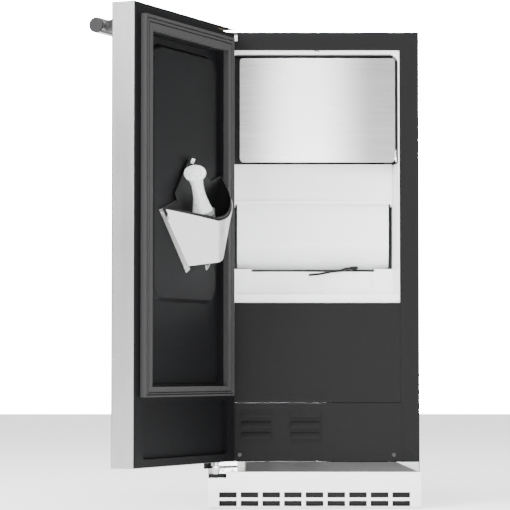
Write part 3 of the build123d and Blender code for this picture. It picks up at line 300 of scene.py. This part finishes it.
@dataclass(frozen=True)
class Coated(Finish):
    """Powder coat or enamel with its fine orange peel."""

    peel: float = 900.0
    depth: float = 0.00008
    gloss: float = 0.2

    def shade(self, tree: ShaderTree) -> None:
        """Fine relief, faint clouding and a little dust.

        Args:
            tree: The material's nodes.
        """
        spot = tree.place()
        peel = tree.noise(spot, self.peel, 2.0)
        cloud = tree.noise(spot, 11.0, 4.0)
        tree.surface(
            Base_Color=tree.between(cloud, toned(self.colour, 0.88), toned(self.colour, 1.14)),
            Roughness=cloud * 0.1 + peel * 0.08 + (self.roughness - 0.09),
            Specular_IOR_Level=self.gloss,
            Normal=tree.bump(peel, self.depth, 0.4))


@dataclass(frozen=True)
class Moulded(Finish):
    """Moulded or vacuum-formed plastic with a light texture and flow clouds."""

    texture: float = 1400.0
    depth: float = 0.00004
    clouding: float = 0.03
    gloss: float = 0.5

    def shade(self, tree: ShaderTree) -> None:
        """Skin texture, slow thickness waves and faint colour drift.

        Args:
            tree: The material's nodes.
        """
        spot = tree.place()
        skin = tree.noise(spot, self.texture, 1.0)
        wave = tree.noise(spot, 16.0, 2.0)
        cloud = tree.noise(spot, 5.0, 4.0)
        tree.surface(
            Base_Color=tree.between(cloud, toned(self.colour, 1 - self.clouding),
                                    toned(self.colour, 1 + self.clouding)),
            Roughness=cloud * 0.08 + skin * 0.05 + (self.roughness - 0.065),
            Specular_IOR_Level=self.gloss,
            Normal=tree.bump(skin * 0.5 + wave * 2.0, self.depth, 0.35))


@dataclass(frozen=True)
class Rubber(Finish):
    """Soft black rubber with a dusty bloom."""

    def shade(self, tree: ShaderTree) -> None:
        """Fine grain and a pale bloom in patches.

        Args:
            tree: The material's nodes.
        """
        spot = tree.place()
        bloom = tree.noise(spot, 34.0, 5.0)
        grain = tree.noise(spot, 2200.0, 1.0)
        tree.surface(
            Base_Color=tree.between(bloom, toned(self.colour, 0.8), toned(self.colour, 1.5)),
            Roughness=bloom * 0.18 + (self.roughness - 0.09),
            Specular_IOR_Level=0.12,
            Normal=tree.bump(grain, 0.00005, 0.3))


@dataclass(frozen=True)
class BareMetal(Finish):
    """Plated, cast or drawn metal with spangle and light tarnish."""

    spangle: float = 240.0

    def shade(self, tree: ShaderTree) -> None:
        """Spangle in colour and roughness.

        Args:
            tree: The material's nodes.
        """
        spot = tree.place()
        flake = tree.node("ShaderNodeTexVoronoi", {}, {"Vector": spot, "Scale": self.spangle}, "Color")
        tarnish = tree.noise(spot, 30.0, 4.0)
        mottled = tree.node("ShaderNodeMix", {"data_type": "RGBA"},
                            {0: 0.06,
                             6: tree.between(tarnish, toned(self.colour, 0.82), toned(self.colour, 1.12)),
                             7: flake}, 2)
        tree.surface(
            Base_Color=mottled,
            Metallic=1.0,
            Roughness=tarnish * 0.2 + (self.roughness - 0.1),
            Normal=tree.bump(tarnish, 0.0001, 0.2))


@dataclass(frozen=True)
class Clear(Finish):
    """Clear or frosted moulded plastic with fine handling scratches."""

    clarity: float = 0.9

    def shade(self, tree: ShaderTree) -> None:
        """Glass-like body, tinted a little, with scratches in the roughness.

        Args:
            tree: The material's nodes.
        """
        spot = tree.place()
        scratch = tree.noise(tree.stretched(spot, (40.0, 40.0, 3.0)), 20.0, 5.0)
        tree.surface(
            Base_Color=tree.between(scratch, toned(self.colour, 0.94), self.colour),
            Roughness=scratch * 0.12 + self.roughness,
            Transmission_Weight=self.clarity,
            IOR=1.49,
            Normal=tree.bump(scratch, 0.00006, 0.3))


@dataclass(frozen=True)
class Foam(Finish):
    """Poured foam with its open cells."""

    def shade(self, tree: ShaderTree) -> None:
        """Cells in colour and relief.

        Args:
            tree: The material's nodes.
        """
        spot = tree.place()
        cell = tree.node("ShaderNodeTexVoronoi", {}, {"Vector": spot, "Scale": 420.0}, "Distance")
        age = tree.noise(spot, 9.0, 3.0)
        tree.surface(
            Base_Color=tree.between(cell * 0.6 + age * 0.5, self.colour, toned(self.colour, 0.6)),
            Roughness=cell * 0.1 + self.roughness,
            Normal=tree.bump(cell, 0.0006, 0.6))


CHARCOAL = Coated("charcoal_powder_coat", (0.0068, 0.0068, 0.0071), 0.55, 900.0, 0.00008, 0.1)
STEEL_ACROSS = Brushed("stainless_brushed_across", (0.5, 0.5, 0.497), 0.34)
# The cover's painted highlight: a bright base colour, dimmed towards both ends as painted shade.
STEEL_COVER = HighlightPaintedBrushed("stainless_cover", (0.99, 0.99, 0.985), 0.3, Grain.ACROSS, 0.12, 0.00012,
                       middle=-0.012, reach=0.135, ends=0.2)
STEEL_DOOR = Brushed("stainless_door", (0.46, 0.46, 0.456), 0.33, Grain.DOOR_UP, 0.2)
STEEL_HANDLE = Brushed("stainless_handle", (0.6, 0.6, 0.595), 0.26, Grain.DOOR_ACROSS)
STEEL_HOLDER = Brushed("stainless_holder", (0.5, 0.5, 0.495), 0.26, Grain.DOOR_UP, 0.2)
STEEL_PLATE = Brushed("stainless_plate", (0.6, 0.6, 0.6), 0.3, Grain.DEEP)
WHITE = Moulded("white_moulded", (0.9, 0.905, 0.91), 0.36)
WHITE_FLAP = Moulded("white_flap", (0.89, 0.9, 0.91), 0.3)
LINER_BLACK = Moulded("black_door_liner", (0.0035, 0.0036, 0.0042), 0.5, 900.0, 0.0001, 0.12, 0.12)
BLACK = Moulded("black_moulded", (0.0032, 0.0032, 0.0036), 0.5, 1100.0, 0.00006, 0.15, 0.2)
BLACK_GLOSS = Moulded("black_end_cap", (0.022, 0.022, 0.023), 0.4, 1100.0, 0.00003, 0.1, 0.25)
NYLON = Moulded("natural_nylon", (0.68, 0.67, 0.62), 0.5, 700.0, 0.00008, 0.06)
GASKET = Rubber("gasket_rubber", (0.0035, 0.0035, 0.0038), 0.55)
CLEAR = Clear("clear_scoop", (0.93, 0.96, 0.97), 0.05)
FROSTED = Clear("frosted_handle", (0.93, 0.945, 0.95), 0.22, 0.35)
ZINC = BareMetal("zinc_plate", (0.62, 0.63, 0.64), 0.36)
BRIGHT = BareMetal("bright_hinge_plate", (0.72, 0.72, 0.73), 0.24, 300.0)
SHELL_STEEL = BareMetal("coated_shell_sheet", (0.36, 0.365, 0.37), 0.42, 180.0)
COPPER = BareMetal("drawn_copper", (0.78, 0.42, 0.28), 0.3)
FINS = BareMetal("fin_aluminium", (0.74, 0.75, 0.76), 0.38)
ENAMEL = Coated("black_enamel", (0.012, 0.012, 0.013), 0.3, 300.0)
FOAM = Foam("poured_foam", (0.74, 0.66, 0.42), 0.85)


# ---------------------------------------------------------------- pieces
def dress(finish: Finish, *nodes: str) -> None:
    """Gives CAD nodes a finish.

    Args:
        finish: What they are made of.
        nodes: Names of the CAD nodes.
    """
    for name in nodes:
        slots = frame["nodes"][name].data.materials
        slots.clear()
        slots.append(finish.material())


class Piece:
    """A new mesh piece that is built from operators, then placed and dressed."""

    def __init__(self, name: str) -> None:
        """Starts an empty mesh."""
        self.name = name
        self.mesh = bmesh.new()

    def block(self, low: Iterable[float], high: Iterable[float], round_edge: float = 0.0,
              segments: int = 3) -> list[bmesh.types.BMVert]:
        """A box between two corners, with its edges rounded.

        Args:
            low: Lowest corner, in metres.
            high: Highest corner.
            round_edge: Radius of the edges.
            segments: Faces across each rounding.

        Returns:
            The box's vertices.
        """
        low_v, high_v = Vector(low), Vector(high)
        made = bmesh.ops.create_cube(self.mesh, size=1.0)["verts"]
        bmesh.ops.scale(self.mesh, verts=made, vec=high_v - low_v)
        bmesh.ops.translate(self.mesh, verts=made, vec=(low_v + high_v) / 2)
        if round_edge > 0:
            edges = list({edge for vert in made for edge in vert.link_edges})
            bevelled = bmesh.ops.bevel(self.mesh, geom=edges, offset=round_edge, offset_type="OFFSET",
                                       affect="EDGES", segments=segments, profile=0.5, material=-1)
            made = list({vert for face in bevelled["faces"] for vert in face.verts})
        return made

    def disc(self, centre: Vector, axis: Vector, radius: float, length: float, round_edge: float = 0.0,
             sides: int = 48) -> list[bmesh.types.BMVert]:
        """A round bar from centre along axis, with its ends rounded.

        Args:
            centre: Middle of its first end.
            axis: The way it runs.
            radius: Its radius.
            length: Its length.
            round_edge: Radius of the rims.
            sides: Faces round it.

        Returns:
            The bar's vertices.
        """
        made = bmesh.ops.create_cone(self.mesh, cap_ends=True, segments=sides, radius1=radius,
                                     radius2=radius, depth=length)["verts"]
        turn = axis.normalized().to_track_quat("Z", "Y").to_matrix().to_4x4()
        place = Matrix.Translation(centre + axis.normalized() * length / 2) @ turn
        bmesh.ops.transform(self.mesh, matrix=place, verts=made)
        if round_edge > 0:
            rims = [edge for edge in {e for v in made for e in v.link_edges}
                    if any(len(face.verts) > 4 for face in edge.link_faces)]
            bmesh.ops.bevel(self.mesh, geom=rims, offset=round_edge, offset_type="OFFSET",
                            affect="EDGES", segments=3, profile=0.5, material=-1)
        return made

    def turned(self, foot: Vector, axis: Vector, outline: tuple[tuple[float, float], ...],
               steps: int = 40) -> None:
        """A turned shape from its half outline.

        Args:
            foot: Where its axis starts.
            axis: The way its axis runs.
            outline: Radius and height pairs, from the foot up.
            steps: Faces round it.
        """
        verts = [self.mesh.verts.new((radius, 0.0, height)) for radius, height in outline]
        edges = [self.mesh.edges.new(pair) for pair in zip(verts, verts[1:])]
        bmesh.ops.spin(self.mesh, geom=verts + edges, cent=(0.0, 0.0, 0.0), axis=(0.0, 0.0, 1.0),
                       angle=math.tau, steps=steps, use_merge=True)
        made = list(self.mesh.verts)
        bmesh.ops.remove_doubles(self.mesh, verts=made, dist=1e-6)
        turn = axis.to_track_quat("Z", "Y").to_matrix().to_4x4()
        bmesh.ops.transform(self.mesh, matrix=Matrix.Translation(foot) @ turn, verts=self.mesh.verts)

    def ring(self, centre: Vector, axis: Vector, radius: float, wire: float, steps: int = 40) -> None:
        """A raised ring round an axis.

        Args:
            centre: Its middle.
            axis: Its axis.
            radius: From the middle to the wire.
            wire: Radius of the wire.
            steps: Pieces round the ring.
        """
        known = set(self.mesh.verts)
        loop = bmesh.ops.create_circle(self.mesh, segments=8, radius=wire)["verts"]
        stand = Matrix.Translation((radius, 0.0, 0.0)) @ Matrix.Rotation(math.pi / 2, 4, "X")
        bmesh.ops.transform(self.mesh, matrix=stand, verts=loop)
        edges = list({edge for vert in loop for edge in vert.link_edges})
        bmesh.ops.spin(self.mesh, geom=loop + edges, cent=(0.0, 0.0, 0.0), axis=(0.0, 0.0, 1.0),
                       angle=math.tau, steps=steps, use_merge=True)
        made = [vert for vert in self.mesh.verts if vert not in known]
        bmesh.ops.remove_doubles(self.mesh, verts=made, dist=1e-6)
        made = [vert for vert in self.mesh.verts if vert not in known]
        turn = axis.to_track_quat("Z", "Y").to_matrix().to_4x4()
        bmesh.ops.transform(self.mesh, matrix=Matrix.Translation(centre) @ turn, verts=made)

    def done(self, finish: Finish, body: str, record_slot: str, *stands_for: str) -> bpy.types.Object:
        """Finishes the piece.

        Args:
            finish: What it is made of.
            body: The body it moves with.
            record_slot: A slot name of the record; not used.
            stands_for: CAD nodes that it replaces.

        Returns:
            The piece.
        """
        bmesh.ops.recalc_face_normals(self.mesh, faces=self.mesh.faces)
        data = bpy.data.meshes.new(self.name)
        self.mesh.to_mesh(data)
        self.mesh.free()
        made = bpy.data.objects.new(self.name, data)
        bpy.context.scene.collection.objects.link(made)
        made.data.materials.append(finish.material())
        for face in data.polygons:
            face.use_smooth = True
        data.set_sharp_from_angle(angle=math.radians(32))
        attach(made, body)
        if stands_for:
            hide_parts(*stands_for)
        LOG.info("built %s", self.name)
        return made


# ---------------------------------------------------------------- sub-assemblies
@dataclass
class Casing:
    """The closed cabinet with its face frame and the two panels under the opening."""

    def build(self) -> None:
        """Dresses the casing."""
        dress(CHARCOAL, "outer_shell", "front_frame", "seal_panel", "louver_panel", "panel_clip")
        dress(SHELL_STEEL, "back_panel", "base_pan")
        dress(ENAMEL, "panel_screws")
        LOG.info("casing dressed")


@dataclass
class ToeGrille:
    """The stainless grille that covers the feet, with a black mat behind it as painted shade."""

    margin: float = 17 * MM
    filter_depth: float = 4 * MM
    filter_setback: float = 7 * MM
    filter_low: float = 2 * MM
    filter_high: float = 31 * MM
    edge: float = 0.6 * MM
    rib: float = 1.6 * MM
    rib_pitch: float = 4.2 * MM
    rib_start: float = 0.3
    rib_proud: float = 1.2 * MM
    rib_sunk: float = 0.4 * MM
    rib_inset: float = 1 * MM

    def build(self) -> None:
        """Dresses the grille and adds the black mat of painted shade behind it."""
        dress(STEEL_ACROSS, "toe_grille")
        self.filter()
        LOG.info("toe grille dressed")

    def filter(self) -> None:
        """A black mat with upright ribs behind the slots, as painted shade for the dark space there."""
        low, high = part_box("toe_grille")
        left, right = low[0] + self.margin, high[0] - self.margin
        front = low[1] + self.filter_setback
        bottom, top = low[2] + self.filter_low, low[2] + self.filter_high
        # Painted shade: a black mat put where the space behind the slots is dark.
        piece = Piece("grille_filter")
        piece.block((left, front, bottom), (right, front + self.filter_depth, top), self.edge, 2)
        for place in range(int((right - left) / self.rib_pitch)):
            start = left + (place + self.rib_start) * self.rib_pitch
            piece.block((start, front - self.rib_proud, bottom + self.rib_inset),
                        (start + self.rib, front + self.rib_sunk, top - self.rib_inset))
        piece.done(BLACK, "cabinet", "black_plastic")


@dataclass
class IceCompartment:
    """Liner, header, freezing plate and its cover, and the curved flap over the bin."""

    bulb_radius: float = 2.6 * MM
    bulb_length: float = 15 * MM
    bulb_inset: float = 14 * MM
    latch_height: float = 22 * MM
    latch_drop: float = 95 * MM
    tab_x: float = 1.2 * MM
    tab_width: float = 9 * MM
    tab_height: float = 5 * MM

    def build(self) -> None:
        """Dresses the compartment."""
        dress(WHITE, "bin_liner", "header_panel", "water_reservoir", "water_distributor")
        dress(WHITE_FLAP, "bin_flap")
        dress(STEEL_COVER, "evaporator_cover")
        # The evaporator housing and the bin mouth seal are real parts; their black is partly painted shade
        # for the dark gaps round the cover and beside the flap.
        dress(BLACK, "evaporator_housing", "bin_mouth_seal", "sensor_lead", "cutter_frame", "water_pump")
        dress(STEEL_PLATE, "evaporator_plate", "cutter_wires")
        dress(COPPER, "evaporator_coil")
        dress(ZINC, "flap_pins")
        dress(NYLON, "pump_impeller")
        dress(FOAM, "insulation")
        self.sensor_bulb()
        self.cover_latch()
        self.liner_tab()
        LOG.info("ice compartment dressed")

    def sensor_bulb(self) -> None:
        """The rounded probe on the end of the sensor lead."""
        low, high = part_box("sensor_lead")
        middle = (low[1] + high[1]) / 2
        piece = Piece("sensor_bulb")
        centre = Vector((high[0] - self.bulb_inset, middle, high[2] - self.bulb_radius / 2))
        piece.disc(centre, Vector((1.0, 0.0, 0.06)), self.bulb_radius, self.bulb_length,
                   self.bulb_radius * 0.7)
        piece.done(BLACK, "cabinet", "black_plastic")

    def cover_latch(self) -> None:
        """The spring latch that holds the cover's right side."""
        low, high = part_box("evaporator_cover")
        piece = Piece("cover_latch")
        middle = (low[2] + high[2]) / 2 - self.latch_drop
        piece.block((high[0] + 0.4 * MM, low[1] - 2 * MM, middle),
                    (high[0] + 3.2 * MM, low[1] + 6 * MM, middle + self.latch_height), 0.8 * MM)
        piece.block((high[0] - 1.5 * MM, low[1] - 3 * MM, middle + 4 * MM),
                    (high[0] + 3.2 * MM, low[1] - 1.6 * MM, middle + self.latch_height - 4 * MM), 0.5 * MM)
        piece.done(BRIGHT, "cabinet", "zinc_steel")

    def liner_tab(self) -> None:
        """The bright tab that clips the liner's rim under the face frame's rail."""
        low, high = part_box("bin_liner")
        piece = Piece("liner_tab")
        piece.block((self.tab_x, low[1] - 2.4 * MM, high[2] - self.tab_height),
                    (self.tab_x + self.tab_width, low[1] - 0.2 * MM, high[2] - 0.5 * MM), 0.7 * MM)
        piece.done(BRIGHT, "cabinet", "zinc_steel")


@dataclass
class Machinery:
    """Compressor, condenser, fan and the connections at the back."""

    def build(self) -> None:
        """Dresses the machinery."""
        dress(ENAMEL, "compressor", "fan_motor")
        dress(GASKET, "compressor_mounts")
        dress(BLACK, "fan_shroud", "fan_blade", "control_box", "cord_gland")
        dress(COPPER, "refrigerant_lines", "filter_drier")
        dress(FINS, "condenser_fins")
        dress(NYLON, "inlet_valve", "drain_outlet")
        dress(ZINC, "foot_front_left", "foot_rear_left", "foot_front_right", "foot_rear_right")
        LOG.info("machinery dressed")


@dataclass
class Hinges:
    """Hinge plates, pins and the cover at the lower corner."""

    def build(self) -> None:
        """Dresses the hinges."""
        dress(BRIGHT, "hinge_plates")
        dress(ZINC, "hinge_pins", "hinge_screws")
        dress(BLACK, "hinge_cover")
        dress(NYLON, "hinge_bushes")
        LOG.info("hinges dressed")


@dataclass
class Door:
    """The stainless door with its black liner, gasket and bar handle."""

    def build(self) -> None:
        """Dresses the door."""
        dress(STEEL_DOOR, "door_skin")
        dress(LINER_BLACK, "door_liner")
        dress(GASKET, "door_gasket")
        dress(FOAM, "door_foam")
        dress(BLACK, "door_stop")
        dress(STEEL_HANDLE, "handle_bar")
        dress(BLACK_GLOSS, "handle_caps", "handle_posts")
        LOG.info("door dressed")


@dataclass
class ScoopAndHolder:
    """The folded holder on the door, its black tub, and the clear scoop."""

    tab_size: float = 7 * MM
    cap_radius: float = 19 * MM
    cap_thickness: float = 5 * MM
    profile: tuple[tuple[float, float], ...] = (
        (0.0, 0.0), (17.0, 0.0), (17.6, 1.5), (17.0, 4.0), (14.2, 14.0), (11.6, 26.0), (10.2, 38.0),
        (10.4, 50.0), (12.4, 60.0), (15.5, 66.0), (0.0, 67.0))

    def build(self) -> None:
        """Dresses the holder and the scoop."""
        dress(STEEL_HOLDER, "holder_sheet")
        dress(BLACK, "holder_tub")
        dress(BRIGHT, "holder_screws")
        dress(CLEAR, "scoop_bowl")
        self.handle()
        self.hook_tab()
        LOG.info("scoop and holder dressed")

    def handle(self) -> None:
        """The scoop's waisted handle with its tilted oval thumb cap."""
        axis = next(Vector(joint["axis"]).normalized() for joint in frame["record"]["behaviour"]["joints"]
                    if joint["name"] == "scoop_lift")
        points = [vert.co.copy() for vert in frame["nodes"]["scoop_handle"].data.vertices]
        reach = [point.dot(axis) for point in points]
        foot = self.centre_of(points, reach, min(reach))
        crown = self.centre_of(points, reach, max(reach))
        piece = Piece("scoop_handle_turned")
        piece.turned(foot, axis, tuple((radius * MM, height * MM) for radius, height in self.profile))
        facing = (axis * 0.75 + Vector((0.1, -0.62, 0.1))).normalized()
        start = crown - axis * self.cap_radius * 0.45
        piece.disc(start, facing, self.cap_radius, self.cap_thickness, self.cap_thickness * 0.35)
        piece.ring(start + facing * self.cap_thickness, facing, self.cap_radius * 0.62,
                   self.cap_radius * 0.07)
        piece.done(FROSTED, "scoop", "white_plastic", "scoop_handle")

    @staticmethod
    def centre_of(points: list[Vector], reach: list[float], level: float) -> Vector:
        """Middle of the points that lie at one reach along an axis.

        Args:
            points: The points.
            reach: How far each one lies along the axis.
            level: The reach that is wanted.

        Returns:
            Their middle.
        """
        near = [point for point, at in zip(points, reach) if abs(at - level) < 0.3 * MM]
        total = Vector((0.0, 0.0, 0.0))
        for point in near:
            total += point
        return total / len(near)

    def hook_tab(self) -> None:
        """The small folded steel tab at the top of the holder's back."""
        tip = max((vert.co for vert in frame["nodes"]["holder_tub"].data.vertices), key=lambda co: co.z)
        piece = Piece("holder_hook_tab")
        piece.disc(tip + Vector((0.002, -0.004, -self.tab_size * 1.6)), Vector((0.45, -0.2, 1.0)),
                   self.tab_size * 0.62, self.tab_size * 1.3, self.tab_size * 0.2, 4)
        piece.done(BRIGHT, "door", "zinc_steel")


# ---------------------------------------------------------------- studio
@dataclass
class SoftLight:
    """A soft rectangular lamp that looks at a point."""

    name: str
    at: Colour
    towards: Colour
    width: float
    height: float
    power: float

    def build(self) -> None:
        """Adds the lamp."""
        lamp = bpy.data.lights.new(self.name, "AREA")
        lamp.shape = "RECTANGLE"
        lamp.size = self.width
        lamp.size_y = self.height
        lamp.energy = self.power
        holder = bpy.data.objects.new(self.name, lamp)
        holder.location = self.at
        holder.rotation_euler = (Vector(self.towards) - Vector(self.at)).to_track_quat("-Z", "Y").to_euler()
        bpy.context.scene.collection.objects.link(holder)


@dataclass
class Studio:
    """Pale floor, soft lamps and the camera."""

    camera_at: Colour = (-0.1056, -4.616, 0.2451)
    camera_tilt: float = 92.73
    lens: float = 170.6
    floor_half: float = 9.0
    surround: float = 0.5
    backdrop: float = 30.0
    lamps: tuple[SoftLight, ...] = field(default_factory=lambda: (
        SoftLight("front_strip", (0.11, -5.2, 0.9), (0.0, -0.3, 0.75), 0.3, 3.0, 34.0),
        SoftLight("key_left", (-2.2, -3.4, 2.2), (0.0, -0.3, 0.45), 1.6, 1.6, 230.0),
        SoftLight("low_front", (0.2, -3.2, 0.2), (0.0, -0.28, 0.5), 1.8, 0.3, 45.0),
        SoftLight("top", (0.0, -0.9, 3.2), (0.0, -0.3, 0.0), 2.6, 2.6, 210.0),
    ))

    def build(self) -> None:
        """Adds the floor, the world, the lamps and the camera."""
        self.floor()
        self.world()
        for lamp in self.lamps:
            lamp.build()
        self.camera()

    def floor(self) -> None:
        """A wide pale floor."""
        mesh = bmesh.new()
        bmesh.ops.create_grid(mesh, x_segments=1, y_segments=1, size=self.floor_half)
        data = bpy.data.meshes.new("floor")
        mesh.to_mesh(data)
        mesh.free()
        floor = bpy.data.objects.new("floor", data)
        bpy.context.scene.collection.objects.link(floor)
        tree = ShaderTree("pale_floor")
        cloud = tree.noise(tree.place(), 0.8, 2.0)
        tree.surface(Base_Color=tree.between(cloud, (0.9, 0.9, 0.9), (0.93, 0.93, 0.93)), Roughness=0.8,
                     Emission_Color=(1.0, 1.0, 1.0, 1.0), Emission_Strength=1.3)
        data.materials.append(tree.material)

    def world(self) -> None:
        """An even, near-white surround."""
        world = bpy.data.worlds.new("soft_white")
        world.use_nodes = True
        graph = world.node_tree
        background = graph.nodes["Background"]
        background.inputs["Color"].default_value = (1.0, 1.0, 1.0, 1.0)
        path = graph.nodes.new("ShaderNodeLightPath")
        level = graph.nodes.new("ShaderNodeMapRange")
        level.inputs["To Min"].default_value = self.surround
        level.inputs["To Max"].default_value = self.backdrop
        graph.links.new(path.outputs["Is Camera Ray"], level.inputs["Value"])
        graph.links.new(level.outputs["Result"], background.inputs["Strength"])
        bpy.context.scene.world = world

    def camera(self) -> None:
        """The camera, level from side to side and tilted up a little."""
        data = bpy.data.cameras.new("camera")
        data.lens = self.lens
        data.sensor_width = 36.0
        data.clip_end = 60.0
        camera = bpy.data.objects.new("camera", data)
        camera.location = self.camera_at
        camera.rotation_euler = (math.radians(self.camera_tilt), 0.0, 0.0)
        bpy.context.scene.collection.objects.link(camera)
        bpy.context.scene.camera = camera


def main() -> None:
    """Builds the sub-assemblies in order, then the studio."""
    logging.basicConfig(level=logging.INFO, format="%(message)s")
    for part in (Casing(), ToeGrille(), IceCompartment(), Machinery(), Hinges(), Door(), ScoopAndHolder()):
        part.build()
    Studio().build()


if __name__ == "__main__":
    main()
